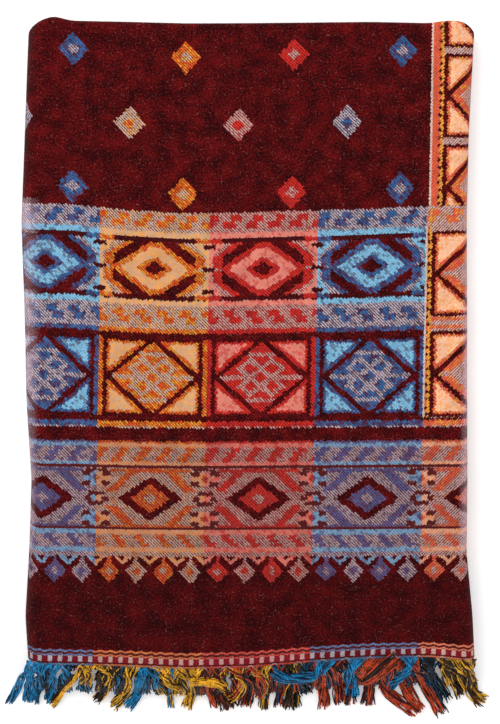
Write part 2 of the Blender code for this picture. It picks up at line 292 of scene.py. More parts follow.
# %% Lay both faces of the cloth as grids
# Where the front, the back and the rim lie in the bake's map: start and width, then height.
BAKE_FRONT, BAKE_BACK, BAKE_RIM = (0.01, 0.80), (0.82, 0.17), (0.992, 0.006)
BAKE_UP = (0.01, 0.98)


def lay_face(bm, proud):
    """One face of the cloth as a grid of the stations, carried into the folded stack."""
    last_column, last_row = len(COLUMNS) - 1, len(ROWS) - 1
    made = bmesh.ops.create_grid(bm, x_segments=last_column, y_segments=last_row, size=1)
    weave = bm.loops.layers.uv["weave"]
    bake = bm.loops.layers.uv["OFBake"]
    section = [along_length(leg, share, proud) for leg, share, _ in ROWS]
    y, height = np.array(section, float).T
    places, designs = [], []
    for i, (leg, share, _) in enumerate(COLUMNS):
        x, z = across_width(leg, share, height)
        places.append(settled(x + 0 * y, y, z + 0 * y))
        designs.append(np.stack(design_places(i), -1) * PICK)
    bake_left, bake_wide = BAKE_FRONT if proud > 0 else BAKE_BACK
    bake_low, bake_high = BAKE_UP
    for vert in made["verts"]:
        i = round((vert.co.x + 1) / 2 * last_column)
        j = round((vert.co.y + 1) / 2 * last_row)
        baked = (bake_left + bake_wide * i / last_column, bake_low + bake_high * j / last_row)
        for loop in vert.link_loops:
            loop[weave].uv = designs[i][j]
            loop[bake].uv = baked
        vert.co = places[i][j]
    return made["verts"]


def rim_of(verts):
    """The open edges round a grid."""
    edges = {edge for vert in verts for edge in vert.link_edges}
    return [edge for edge in edges if edge.is_boundary]


cloth_mesh = bmesh.new()
cloth_mesh.loops.layers.uv.new("weave")
cloth_mesh.loops.layers.uv.new("OFBake")
front = lay_face(cloth_mesh, CLOTH / 2)
back = lay_face(cloth_mesh, -CLOTH / 2)
rims = rim_of(front) + rim_of(back)
rim_faces = bmesh.ops.bridge_loops(cloth_mesh, edges=rims)["faces"]
bmesh.ops.recalc_face_normals(cloth_mesh, faces=cloth_mesh.faces[:])
print(f"cloth: {len(cloth_mesh.faces)} faces, {len(rim_faces)} of them round its rim")

# %% Carry both maps over the rim
weave_layer = cloth_mesh.loops.layers.uv["weave"]
bake_layer = cloth_mesh.loops.layers.uv["OFBake"]
on_front = set(front)


def on_one_side(loop):
    """Whether the loop's face lies wholly on the front or wholly on the back."""
    return len(set(loop.face.verts) & on_front) in (0, 4)


for n, face in enumerate(rim_faces):
    for loop in face.loops:
        beside = next(filter(on_one_side, loop.vert.link_loops))
        loop[weave_layer].uv = beside[weave_layer].uv
        at_front = loop.vert in on_front
        if at_front:
            later = loop.link_loop_next.vert in on_front
        else:
            later = loop.link_loop_prev.vert not in on_front
        up = BAKE_UP[0] + BAKE_UP[1] * (n + later) / len(rim_faces)
        loop[bake_layer].uv = (BAKE_RIM[0] + BAKE_RIM[1] * at_front, up)
print(f"{len(rim_faces)} faces of the rim mapped")


# %% Make the cloth an object
def add_object(name, data):
    """A new object in the scene for a mesh, a curve, a lamp or a camera."""
    obj = bpy.data.objects.new(name, data)
    bpy.context.scene.collection.objects.link(obj)
    return obj


def make_object(name, bm):
    """Turns a finished bmesh into a smooth object at the origin."""
    mesh = bpy.data.meshes.new(name)
    bm.to_mesh(mesh)
    bm.free()
    mesh.shade_smooth()
    return add_object(name, mesh)


cloth = make_object("cloth", cloth_mesh)
corners = (*cloth.bound_box[0], *cloth.bound_box[6])
print("cloth box in mm:", [round(value / MM, 1) for value in corners])

# %% [markdown]
# ## The fringe
#
# A fringe is the cloth's own warp: its ends are left unwoven, gathered into locks and wound
# into a small knot, below which they hang together and open at the tip. A hair system could
# do this, but a fringe of thick yarn has few strands, and each can be a curve with a round
# bevel. So a lock is a way from the edge to its tip, and its yarns wind round that way.

# %% The locks of the upper end, in mm, with their dyes
DYES = {
    "navy": 0, "blue": 1, "gold": 2, "rust": 3, "black": 4, "maroon": 5, "brown": 6, "pale": 7,
}
LOCKS_A = (
  # root right of the middle, way as (sideways, out of the edge), half width, lift, dyes
    (-203, ((-14, 22), (-27, 47)), 3.3, 0, "navy blue navy"),
    (-201, ((-8, 28), (-10, 44)), 4.3, 0, "blue navy blue"),
    (-194, ((-4, 16), (-11, 45)), 4.8, 1, "blue navy blue"),
    (-181, ((-7, 26), (-8, 44)), 5.2, 0, "blue navy blue"),
    (-151, ((-12, 12), (-24, 25), (-39, 46)), 3.8, 3, "gold brown gold black"),
    (-152, ((-1, 12), (-4, 23)), 5.7, 3, "gold gold brown"),
    (-137, ((0, 12), (-5, 21)), 5.7, 1, "brown black gold"),
    (-127, ((-1, 13), (-8, 25), (-22, 41)), 4.3, 3, "gold brown black"),
    (-121, ((-2, 15), (-6, 35)), 4.8, 0, "navy blue black"),
    (-108, ((-7, 15), (-10, 28), (-24, 46)), 4.8, 2, "gold gold brown black"),
    (-97, ((-7, 19), (-12, 35), (-21, 46)), 4.8, 1, "blue navy blue"),
    (-90, ((-2, 13), (-3, 28)), 6.2, 0, "navy blue black"),
    (-83, ((7, 16), (19, 24)), 3.8, 3, "gold gold brown"),
    (-72, ((-3, 24), (-4, 45)), 3.8, 0, "blue gold navy"),
    (-52, ((-2, 26), (-10, 46)), 4.3, 0, "gold brown gold black"),
    (-63, ((11, 14), (26, 14), (42, 21)), 3.8, 4, "gold gold brown"),
    (-39, ((0, 24), (9, 44)), 5.2, 0, "rust brown maroon"),
    (-28, ((3, 29), (8, 46)), 6.2, 0, "rust maroon brown black gold"),
    (-15, ((7, 20), (1, 32), (-8, 36)), 3.8, 3, "gold rust gold brown"),
    (-6, ((3, 25), (0, 45)), 5.7, 0, "maroon rust black"),
    (4, ((5, 15), (6, 25), (-1, 35)), 4.8, 1, "rust gold maroon"),
    (13, ((1, 29), (-1, 49)), 4.3, 0, "brown gold black"),
    (71, ((-11, 15), (-29, 17), (-43, 16), (-54, 11)), 5.2, 6, "blue blue navy"),
    (25, ((3, 28), (2, 48)), 4.3, 0, "rust maroon navy"),
    (35, ((2, 31), (1, 51)), 4.3, 1, "black brown gold"),
    (43, ((-2, 32), (1, 49)), 3.8, 0, "black brown gold"),
    (51, ((-4, 21), (0, 38)), 5.7, 0, "black navy black"),
    (63, ((4, 27), (7, 52)), 5.2, 0, "rust maroon rust"),
    (77, ((5, 31), (8, 49)), 4.8, 0, "rust maroon black"),
    (98, ((-6, 14), (-4, 31), (-2, 43)), 5.2, 4, "blue blue navy"),
    (89, ((4, 34), (5, 51)), 4.8, 0, "rust maroon black"),
    (111, ((1, 34), (-1, 52)), 5.7, 0, "rust black maroon"),
    (106, ((-6, 18), (-3, 26), (7, 18), (18, 5), (31, -6)), 3.6, 7, "rust rust maroon black"),
    (114, ((-10, 24), (-6, 30), (6, 17), (23, 5)), 3.3, 6, "rust rust maroon"),
    (133, ((-4, 26), (-11, 37)), 4.8, 0, "maroon rust black"),
    (147, ((0, 11), (-7, 21), (-18, 35)), 4.6, 6, "blue blue navy"),
    (123, ((7, 39), (19, 49), (35, 60)), 5.2, 0, "rust maroon rust black"),
    (137, ((11, 37), (25, 58)), 5.7, 1, "rust rust maroon"),
    (148, ((15, 30), (25, 47), (34, 62)), 4.8, 2, "rust maroon rust black"),
    (164, ((8, 28), (17, 40), (22, 50)), 5.2, 2, "black navy black"),
    (179, ((10, 22), (18, 36), (20, 45)), 4.8, 0, "gold black brown"),
    (190, ((10, 26), (23, 42), (33, 47)), 5.2, 1, "gold brown black gold"),
    (202, ((6, 24), (12, 41), (15, 50)), 4.3, 0, "gold brown gold"),
)
print(len(LOCKS_A), "locks show at the upper end")

# %% The locks of the lower end, which fill the gaps from below
REGIONS_B = (
  # up to here right of the middle, dyes
    (-150, "navy blue black"),
    (-112, "gold brown black"),
    (-84, "navy blue black"),
    (-48, "brown gold black"),
    (60, "maroon rust brown black"),
    (165, "maroon rust black navy"),
    (999, "brown gold black"),
)
SPACING_B = 17.5
LOCKS_B = []
for root_x in np.arange(-188, 200, SPACING_B):
    names = next(names for limit, names in REGIONS_B if root_x < limit)
    tip = 3 + 0.05 * root_x
    LOCKS_B.append((root_x, ((tip / 3, 16), (tip, 33)), 6.5, 0, names))
print(len(LOCKS_B), "locks show at the lower end")

# %% A smooth way through a few points
POINTS_OF_YARN = 14


def smooth_way(points):
    """Even steps on a smooth line through the points, and the direction beside each step."""
    points = np.array(points, float)
    gone = np.concatenate([[0], np.cumsum(np.hypot(*np.diff(points, axis=0).T))])
    slopes = np.gradient(points, gone, axis=0)
    at = np.linspace(0, gone[-1], POINTS_OF_YARN)
    leg = np.clip(np.searchsorted(gone, at, side="right") - 1, 0, len(points) - 2)
    reach = (gone[leg + 1] - gone[leg])[:, None]
    u = (at - gone[leg])[:, None] / reach
    way = points[leg] * (1 + 2 * u) * (1 - u) ** 2 + points[leg + 1] * (3 - 2 * u) * u**2
    way += (slopes[leg] * (1 - u) - slopes[leg + 1] * u) * reach * u * (1 - u)
    ahead = np.gradient(way, axis=0)
    ahead /= np.hypot(*ahead.T)[:, None]
    return way, np.stack([-ahead[:, 1], ahead[:, 0]], -1)


print(f"each yarn is drawn through {POINTS_OF_YARN} points")


# %% How a lock is wound
YARN_RADIUS = 0.75 * MM
ROOT_SPREAD = 9.5 * MM  # how wide the yarns leave the edge
DROP = 32 * MM  # how far out of the edge a lock comes down to the table
KNOT_AT = 0.26  # share of the way
KNOT_TURN = 3.2  # how far the yarns wind at the knot, in radians
KNOT_NARROW = 0.3  # share of its width that a lock loses there
TIP_OPEN = 0.45  # share of its width that it gains at the tip
FLATNESS = 0.65  # height of a lock for its width
CRIMP = 0.9 * MM  # how far a yarn strays from its wound line
GATHERED_AT = 0.2  # share of the way by which the yarns have come together
chance = np.random.default_rng(7)


def lock_yarns(root, through, way, half_width, lift, rest, count):
    """The points of a lock's yarns: spread at the edge, wound together, open at the tip."""
    t = np.linspace(0, 1, POINTS_OF_YARN)
    line, beside = smooth_way([(0, 0), *way])
    fallen = np.clip(line[:, 1] / DROP, 0, 1) ** 1.5
    height = root[2] + (rest + half_width * 0.55 - root[2]) * fallen
    height = height + lift * np.clip(t * 4, 0, 1)
    wound = chance.uniform(-4, 4) * t + KNOT_TURN / (1 + np.exp((KNOT_AT - t) * 40))
    at_knot = np.exp(-(((t - KNOT_AT) / 0.1) ** 2))
    along_edge = np.array([through[1], 0, -through[0]])
    yarns = []
    for n in range(count):
        turn, share = chance.uniform(0, 2 * math.pi), math.sqrt(chance.uniform(0.05, 1))
        wide = half_width * share * (1 - KNOT_NARROW * at_knot + TIP_OPEN * t**4)
        stray = CRIMP * np.sin(t * chance.uniform(6, 18) + turn)
        sideways = wide * np.cos(turn + wound) + stray
        up = FLATNESS * wide * np.sin(turn + wound)
        gathered = np.clip(t / GATHERED_AT, 0, 1)
        flat = line + beside * (sideways * gathered)[:, None]
        place = np.column_stack([flat[:, 0], -flat[:, 1], height - root[2] + up * gathered])
        spread = ((n + 0.5) / count * 2 - 1) * ROOT_SPREAD * (1 - gathered)
        place = root + place + np.outer(spread, along_edge)
        place[:, 2] = np.maximum(place[:, 2], rest + YARN_RADIUS * 1.05)
        cut = t * chance.uniform(0.87, 1)
        yarns.append(np.column_stack([np.interp(cut, t, values) for values in place.T]))
    return yarns


print(f"yarns {2 * YARN_RADIUS / MM:.1f} mm thick")


# %% Tie all the locks of both ends
HIDDEN_PITCH = 22 * MM  # from one hidden lock to the next
HIDDEN_REACH = 22 * MM
HIDDEN_SPLAY = 13 * MM  # how far the outermost ones lean out
HIDDEN_YARNS = 7
TUCKED_REST = 7 * MM  # the tucked third's locks end on those of the bottom third


def edge_place(leg, share, layer):
    """Where a lock leaves the cloth's edge, and which way is through the cloth there."""
    x, z = across_width(leg, share, LAYER[layer])
    near_x, near_z = across_width(leg, share, LAYER[layer] + MM)
    through = ((near_x - x) / MM, (near_z - z) / MM)
    return settled(x, 0.0, z), through


def seen_from_above(x, layer):
    """The leg of the walk across and the share of it that show at x mm from the middle."""
    x = x * MM
    if x < LEFT_AXIS:
        return 1, 1 - math.asin(min(1, (LEFT_AXIS - x) / (LEFT_FOLD - LAYER[layer]))) / math.pi
    if x > RIGHT_AXIS:
        return 3, math.asin(min(1, (x - RIGHT_AXIS) / (RIGHT_FOLD - LAYER[layer]))) / math.pi
    return 2, (x - LEFT_AXIS) / (RIGHT_AXIS - LEFT_AXIS)


def tie_end(layer, locks, first_hidden):
    """All the yarns of one fringed end, each with its dye."""
    yarns, dyes = [], []
    for x, way, half_width, lift, names in locks:
        root, through = edge_place(*seen_from_above(x, layer), layer)
        way, count = np.array(way) * MM, round(0.75 * half_width**2 + 6)
        made = lock_yarns(root, through, way, half_width * MM, lift * MM, 0, count)
        yarns += made
        dyes += [DYES[name] for name in chance.choice(names.split(), count)]
    for leg, rest in ((0, 0), (4, TUCKED_REST)):
        reach_across = WIDTH_WALK[leg][-1]
        steps = int((reach_across - first_hidden) / HIDDEN_PITCH)
        for n in range(steps):
            share = (first_hidden + n * HIDDEN_PITCH) / reach_across
            root, through = edge_place(leg, share, layer)
            tip = root[0] / WIDTH * 2 * HIDDEN_SPLAY
            way = ((tip / 2, 12 * MM), (tip, HIDDEN_REACH))
            yarns += lock_yarns(root, through, way, 4 * MM, 0, rest, HIDDEN_YARNS)
            names = ("blue navy", "gold brown", "rust maroon")[n * 3 // steps].split()
            dyes += [DYES[name] for name in chance.choice(names, HIDDEN_YARNS)]
    return yarns, dyes


upper_yarns, upper_dyes = tie_end(0, LOCKS_A, 14 * MM)
lower_yarns, lower_dyes = tie_end(1, LOCKS_B, 25 * MM)
print(f"{len(upper_yarns)} yarns at the upper end, {len(lower_yarns)} at the lower end")

# %% [markdown]
# ## The binding thread and the strands
#
# A pale thread binds the last weft and shows between the locks as small loops. All the
# ways are then drawn as curves, and a bevel gives them thickness: real yarn is round, but
# four sides are enough for so many strands of 1.5 mm.

# %% Loops of the binding thread
LOOP_PITCH = 22.2
for loop_x in np.arange(-200, 205, LOOP_PITCH):
    root, _ = edge_place(*seen_from_above(loop_x, 0), 0)
    t = np.linspace(-1, 1, POINTS_OF_YARN)
    wide, drop = chance.uniform(5, 7.5), chance.uniform(4.5, 7)
    arch = np.column_stack([wide * t, 1.4 - drop * abs(t) ** 1.6, 2.0 - 3.2 * t**2]) * MM
    upper_yarns.append(root + arch)
    upper_dyes.append(DYES["pale"])
print(len(upper_yarns), "strands with the binding thread")


# %% Bevel the yarns into round strands
THIN = 0.32  # thickness of the binding thread, for a yarn's
CUT_END = 0.7  # thickness of a yarn's last point, for the rest of it
SIDES = 4


def make_yarns(name, yarns, dyes):
    """Beveled curves for all the yarns, made one mesh that holds each strand's dye."""
    curve = bpy.data.curves.new(name + "_lines", "CURVE")
    curve.dimensions = "3D"
    curve.bevel_depth = YARN_RADIUS
    curve.bevel_resolution = 0  # four sides
    curve.use_fill_caps = True
    for points, dye_number in zip(yarns, dyes):
        spline = curve.splines.new("POLY")
        spline.points.add(len(points) - 1)
        spline.points.foreach_set("co", np.column_stack([points, np.ones(len(points))]).ravel())
        thick = np.full(len(points), THIN if dye_number == DYES["pale"] else 1.0)
        thick[-1] *= CUT_END
        spline.points.foreach_set("radius", thick)
    lines = add_object(name + "_lines", curve)
    graph = bpy.context.evaluated_depsgraph_get()
    mesh = bpy.data.meshes.new_from_object(lines.evaluated_get(graph))
    bpy.data.objects.remove(lines)
    mesh.name = name
    dye = mesh.attributes.new("dye", "FLOAT", "POINT")
  # The mesh holds the end caps first, last strand to first, and then the strands in order.
    numbers, round_strand = np.array(dyes, np.float32), SIDES * POINTS_OF_YARN
    in_caps = np.repeat(numbers[::-1], len(mesh.vertices) // len(yarns) - round_strand)
    dye.data.foreach_set("value", np.concatenate([in_caps, np.repeat(numbers, round_strand)]))
    mesh.shade_smooth()
    print(f"{name}: {len(yarns)} strands, {len(mesh.polygons)} faces")
    return add_object(name, mesh)


fringe_upper = make_yarns("fringe_upper", upper_yarns, upper_dyes)
fringe_lower = make_yarns("fringe_lower", lower_yarns, lower_dyes)

# %% [markdown]
# ## Nodes, colours and a way to write them
#
# A material is a net of nodes. One function adds a node, sets it and links what it is
# given. What it hands back is a wire, and plain arithmetic on a wire adds the Math node
# that does the sum, so a motif can be written as the formula that a weaver would chart.
# Colours are chosen as sRGB hex values, as a paint chart gives them, and turned linear.


# %% The colour function, the node function and the wires
def linear(hex_colour):
    """An sRGB hex colour as the linear values that a shader works in."""
    values = [int(hex_colour[i : i + 2], 16) / 255 for i in (1, 3, 5)]
    return [v / 12.92 if v <= 0.04045 else ((v + 0.055) / 1.055) ** 2.4 for v in values] + [1]


class Wire:
    """What a node puts out. Arithmetic on it adds the node that does the sum."""

    def __init__(self, socket):
        self.socket = socket


def add_node(tree, kind, inputs=(), output=0, **settings):
    """Adds a node, sets it, fills or links its inputs, and hands back one output."""
    node = tree.nodes.new("ShaderNode" + kind)
    for name, value in settings.items():
        setattr(node, name, value)
    for key, value in dict(inputs).items():
        if isinstance(value, Wire):
            tree.links.new(value.socket, node.inputs[key])
        else:
            node.inputs[key].default_value = value
    return Wire(node.outputs[output])


def operator(operation, turned=False):
    """A method of a wire that adds a Math node for one operation."""

    def method(self, *others):
        values = (self, *others)[::-1] if turned else (self, *others)
        tree = self.socket.id_data
        return add_node(tree, "Math", enumerate(values), operation=operation)

    return method


for name, operation in {
    "__add__": "ADD", "__sub__": "SUBTRACT", "__mul__": "MULTIPLY", "__truediv__": "DIVIDE",
    "__lt__": "LESS_THAN", "__gt__": "GREATER_THAN", "__mod__": "FLOORED_MODULO",
    "__abs__": "ABSOLUTE", "__floor__": "FLOOR", "least": "MINIMUM", "most": "MAXIMUM",
}.items():
    setattr(Wire, name, operator(operation))
Wire.__rsub__ = operator("SUBTRACT", turned=True)
Wire.__radd__ = operator("ADD")
Wire.__rmul__ = operator("MULTIPLY")
print(len(vars(Wire)), "entries in the class of wires")

# %% [markdown]
# ## The design as the weaver charts it
#
# The design is the common banded layout of such throws. It could be drawn as a picture, but
# a weaver works from a chart, so each motif is a rule about its place in picks, one pick
# being 0.94 mm of cloth. The chart keeps one number for each place, the kind of weave there.
# Motifs are painted over each other in that one number, and the colours come last.

# %% Kinds of weave, and the plain lines from the fringe upward
GROUND, MAIN, LIGHT, GREY, DARK, WHITE = range(6)
LINES = (
  # first pick of the line above the fringe edge, kind of weave
    (111, GREY), (115.5, LIGHT), (120, GREY), (133, LIGHT),
    (138.5, DARK), (140, GREY), (199.8, DARK), (202, LIGHT), (205.5, GREY), (220.5, LIGHT),
    (224.4, MAIN), (226.5, GROUND), (240, GREY), (241.2, MAIN), (246.5, GROUND), (335, MAIN),
    (339.5, GREY), (363, LIGHT), (368, DARK), (370.5, GROUND), (427.5, DARK),
    (430.5, LIGHT), (436.5, GREY), (456.5, GROUND),
)
# Heights above the fringe edge, in picks
HEADING_END, SMALL_ROW, DIAMOND_ROW, LOWER_BANDS_END = 16, 96, 169, 228
SQUARE_ROW, EYE_ROW, BANDS_END, FIELD_ROW = 290.5, 399.5, 457, 475.4
# Places across, in picks
COLUMN = 108.5  # width of a column of motifs
FIRST_COLUMN = -9.1
BORDER = 425.0  # where the side border begins
BORDER_MIDDLE = 480.0  # the line about which the border mirrors
CHECK = 22.2  # from one check to the next
print(f"{len(LINES)} lines of weave, up to {BANDS_END} picks above the edge")


def start_material(name):
    """A new material, its node tree and its shader."""
    material = bpy.data.materials.new(name)
    material.use_nodes = True
    return material, material.node_tree, material.node_tree.nodes["Principled BSDF"]


def set_inputs(node, **values):
    """Sets constants on a node's own inputs, with _ for a space in their names."""
    for name, value in values.items():
        node.inputs[name.replace("_", " ")].default_value = value


def tell(made):
    """Prints how far the cloth's material has come."""
    print(len(wool_tree.nodes), "nodes with", made)


def pick_colour(number, colours):
    """The colour whose place in the list is the number, by a stepped colour ramp."""
    tree = number.socket.id_data
    wire = add_node(tree, "ValToRGB", {0: (number + 0.5) / len(colours)})
    ramp = wire.socket.node.color_ramp
    ramp.interpolation = "CONSTANT"
    for n, colour in enumerate(colours):
        stop = ramp.elements[n] if n < 2 else ramp.elements.new(n / len(colours))
        stop.position = n / len(colours)
        stop.color = colour
    return wire


def paint(under, *layers):
    """Paints kinds of weave over a chart or a plain kind, each where its mask is 1."""
    for where, kind in layers:
        tree = where.socket.id_data
        under = add_node(tree, "Mix", {0: where, 2: under, 3: kind})
    return under


def rings(size, outside, *steps):
    """Nested shapes: each step's kind of weave is painted inside its size, largest first."""
    return paint(outside, *((size < limit, kind) for limit, kind in steps))


def repeat(place, pitch, centre):
    """Distance from the nearest of a row of centres, left of it being negative."""
    return (place - (centre - pitch / 2)) % pitch - pitch / 2


# %% [markdown]
# ## Reading the cloth's place and its twill
#
# In twill each weft yarn floats over a few warps, and the floats step sideways from pick
# to pick, which makes slanting strokes. Real ones are finer than the picture can show, so
# these are drawn coarser, about 3 mm apart. A float has one colour all along, so each reads
# the chart near its own middle, and the motifs get the feathered edges of the real ones.

# %% Where on the design a point of the cloth is
wool, wool_tree, wool_shader = start_material("brushed tapestry wool")
weave_map = add_node(wool_tree, "UVMap", uv_map="weave")
in_picks = add_node(
    wool_tree, "VectorMath", {0: weave_map, "Scale": 1 / PICK}, operation="SCALE"
)
true_across = add_node(wool_tree, "SeparateXYZ", {0: in_picks})
true_along = Wire(true_across.socket.node.outputs[1])
DESIGN_LENGTH = CLOTH_LENGTH / PICK + BASE_PICK - round(EDGE_PICK)
fibre = add_node(wool_tree, "TexNoise", {"Vector": in_picks, "Scale": 0.55, "Detail": 2.0})
patch = add_node(wool_tree, "TexNoise", {"Vector": in_picks, "Scale": 0.06, "Detail": 3.0})
print(f"the design is {DESIGN_LENGTH:.0f} picks long, and mirrors about its middle")

# %% The floats of the twill: short slanting strokes, each of one yarn
STROKE = 3.1  # picks from one stroke to the next, drawn coarser to show
REACH = 4.6  # how far a float runs along its slant
felt = add_node(wool_tree, "TexNoise", {"Vector": in_picks, "Scale": 0.9, "Detail": 1.0})
lean = 1 - 2 * (true_across > BORDER)
phase = (true_across + true_along * lean) / STROKE + fibre * 0.8 + felt
jump = add_node(wool_tree, "TexWhiteNoise", {1: math.floor(phase)}, noise_dimensions="1D")
slant = (true_across - true_along * lean) / REACH + jump
off_stroke = (phase % 1 - 0.5) * STROKE
off_float = (slant % 1 - 0.5) * REACH
float_number = add_node(
    wool_tree, "CombineXYZ", {0: math.floor(phase), 1: math.floor(slant), 2: 0.0}
)
thread = add_node(wool_tree, "TexWhiteNoise", {0: float_number}, noise_dimensions="2D")
wave = abs(phase % 1 - 0.5) * 2
stroke = ((0.62 - wave) * 5).most(0).least(1)
print(f"strokes {STROKE * PICK / MM:.1f} mm apart")

# %% The place that each float reads the design at: near its middle, so that edges feather
PLAIN_END = 18  # the headings are woven plain, without floats
twilled = 0.4 * (true_along > PLAIN_END) * (true_along < DESIGN_LENGTH - PLAIN_END)
across = true_across - (off_stroke + off_float) * twilled + (felt - 0.5) * 2
along = true_along - (off_stroke - off_float) * lean * twilled + (felt - 0.5) * 2
row = along.least(DESIGN_LENGTH - along)
true_row = true_along.least(DESIGN_LENGTH - true_along) + (fibre - 0.5) * 1.5
folded_at = BORDER_MIDDLE - abs(true_across - BORDER_MIDDLE)
column = BORDER_MIDDLE - abs(across - BORDER_MIDDLE)
in_column = (column - FIRST_COLUMN) % COLUMN
from_middle = in_column - COLUMN / 2
off_middle = abs(from_middle)
off_edge = COLUMN / 2 - off_middle
tell("the place of each float")

# %% [markdown]
# ## The bands
#
# Over the plain lines lie three bands with a motif in each column: an eye in a stepped
# comb, a square with a lozenge, and a diamond between flowers. All are made of distances
# from the column's middle or edge and from the band's middle: the sum of two gives a
# diamond, and the larger of two a square.

# %% Paint the lines and the checks between them
chart = paint(GROUND, *((row > first_pick, kind) for first_pick, kind in LINES))


def checks(chart, low, half_widths, centres, height=6.7):
    """Two or three rows of blocks in the main colour, stepped sideways, on grey."""
    for n, (half_width, centre) in enumerate(zip(half_widths, centres)):
        middle = low + height * (n + 0.5)
        block = abs(repeat(column, CHECK, centre)) < half_width
        chart = paint(chart, (block * (abs(row - middle) < height / 2), MAIN))
    return chart


chart = checks(chart, 440.5, (6, 5), (116.9, 123.4))
chart = checks(chart, 345, (5.5, 5.5), (124, 118))
chart = checks(chart, 206, (5, 5, 5), (119, 123, 127), 4.8)
chart = checks(chart, 120.5, (4, 4, 4), (127, 123, 119), 4.2)
tell("lines and checks")

# %% The band of eyes, with a stepped comb at each column's edge
rise = abs(row - EYE_ROW)
size = (off_middle / 1.42 + rise).most(rise * 1.15)
comb = (1.5 * (rise - 9.5)).most(4.3)
bars = (rise < 2.2).most(abs(rise - 22.5) < 2.2)
eye = paint(
    rings(size, GROUND, (30.5, MAIN), (24.2, LIGHT), (13, MAIN), (7.5, GROUND)),
    (off_edge < (1.4 * (rise - 12.5)).most(0) + 13.5, MAIN),
    (off_edge < comb.most(15 - 5 * rise), GREY),
    (off_edge < comb * 0.6, LIGHT),
    (bars * (off_edge < 6), DARK),
)
under_eye = (off_edge < 13) * (abs(rise - 28.5) < 2.4)
chart = paint(chart, (rise < 26.5, eye), (under_eye, MAIN))
tell("the eyes")

# %% The band of squares with a lozenge in each
rise = row - SQUARE_ROW
high = abs(rise)
lozenge = off_middle / 45.5 + high / 39
slope_a = abs(from_middle / 46 + rise / 38)
slope_b = abs(from_middle / 46 - rise / 38)
wide, narrow = slope_a.most(slope_b), slope_a.least(slope_b)
lattice = (abs(wide - 0.23) < 0.085).most(abs(narrow - 0.23) < 0.085)
lattice = lattice.most((abs(wide - 0.69) < 0.07) * (narrow < 0.3)) * (wide < 0.78)
bar = (high < 2.3) * (off_middle > 15) * (off_middle < 44)
bar = bar.most((abs(high - 23) < 2) * (off_middle < 16))
square = paint(
    rings(lozenge, LIGHT, (1.2, MAIN), (1.08, GROUND), (0.91, MAIN)),
    (lattice.most(bar) * (lozenge < 0.91), GREY),
    ((off_edge < 10.8).most(high > 33.5) * (lozenge > 1.08), MAIN),
    ((off_edge < 8.4).most(high > 36), GROUND),
    ((off_edge < 4.2) * (high < 39), MAIN),
)
chart = paint(chart, (high < 39.5, square))
tell("the squares")

# %% The band of diamonds and flowers
rise = abs(row - DIAMOND_ROW)
arms = (abs(off_middle + rise - 46.5) < 5) * (rise > 7)
petal = abs(rise - 20)
shade = (abs(petal - 5) < 2.4) * (abs(off_edge - 9.5) < 4.5)
shade = shade.most((off_edge < 8) * (abs(rise - 5) < 2)).most((off_edge < 12) * (rise < 2.4))
flower = ((off_edge < 5.5) * (petal < 6.5)).most((off_edge < 14) * (petal < 2.4))
diamond = paint(
    rings(off_middle / 1.45 + rise, GREY, (22.6, GROUND), (14.2, MAIN), (5, GREY)),
    (arms.most((rise > 26.5) * (off_edge > 14)), MAIN),
    (shade.most((rise > 27.5) * (off_edge < 11)), DARK),
    (flower.most((off_edge < 5.5) * (rise < 2.5)), LIGHT),
    ((off_edge + petal) < 4.5, MAIN),
)
chart = paint(chart, (rise < 30, diamond))
tell("the diamonds")

# %% Plain dark picks, which run on through the twill
dark_picks = (abs(true_row - 139.2) < 1.1).most(abs(true_row - 201) < 1.3)
dark_picks = dark_picks.most((abs(true_row - 429.2) < 1.5) * (off_edge > 13))
chart = paint(chart, (dark_picks, DARK))
tell("the dark picks")

# %% [markdown]
# ## Small motifs, the border and the heading
#
# Small diamonds hang below the bands, and single ones are strewn over the dark field. A
# border of lozenges runs down the side, half of it hidden round the fold. The heading, a
# few plain picks of blocks between cords, locks the wefts before the fringe is tied.

# %% Small diamonds and arrowheads under the bands
SMALL = COLUMN / 4  # from one small diamond to the next
FIRST_SMALL = 14.3
from_small = repeat(in_column, SMALL, FIRST_SMALL)
odd = ((in_column - FIRST_SMALL + SMALL / 2) % (SMALL * 2)) > SMALL
rise = row - SMALL_ROW
small = abs(from_small) / 10.7 + abs(rise) / 12
core = abs(from_small) / 4.2 + abs(rise) / 4.6
spike = (abs(from_small) < 1.8) * (abs(rise - 10) < 5)
arm = row - 102 - 0.95 * abs(repeat(in_column, SMALL, FIRST_SMALL + SMALL / 2))
chart = paint(
    chart,
    ((small < 1).most(spike), odd * 2 + 1),
    (core < 1, 3 - odd * 2),
    ((arm > 0) * (arm < 4.8) * (row < 111.4), LIGHT),
)
print(f"small diamonds {SMALL * PICK / MM:.1f} mm apart")

# %% Diamonds strewn over the field
ROW_OF_DIAMONDS = 68.8
count = math.floor((row - FIELD_ROW + ROW_OF_DIAMONDS / 2) / ROW_OF_DIAMONDS)
rise = row - FIELD_ROW - count * ROW_OF_DIAMONDS
odd = count % 2
beside = from_middle - 27 + odd * 54
strewn = abs(beside) / 15 + abs(rise) / 17
core = abs(beside) / 6.5 + abs(rise) / 6
field = row > 459
chart = paint(
    chart, ((strewn < 1) * field, odd * 2 + 1), ((core < 1) * field, 3 - odd * 2)
)
print(f"rows of diamonds {ROW_OF_DIAMONDS * PICK / MM:.1f} mm apart on the field")

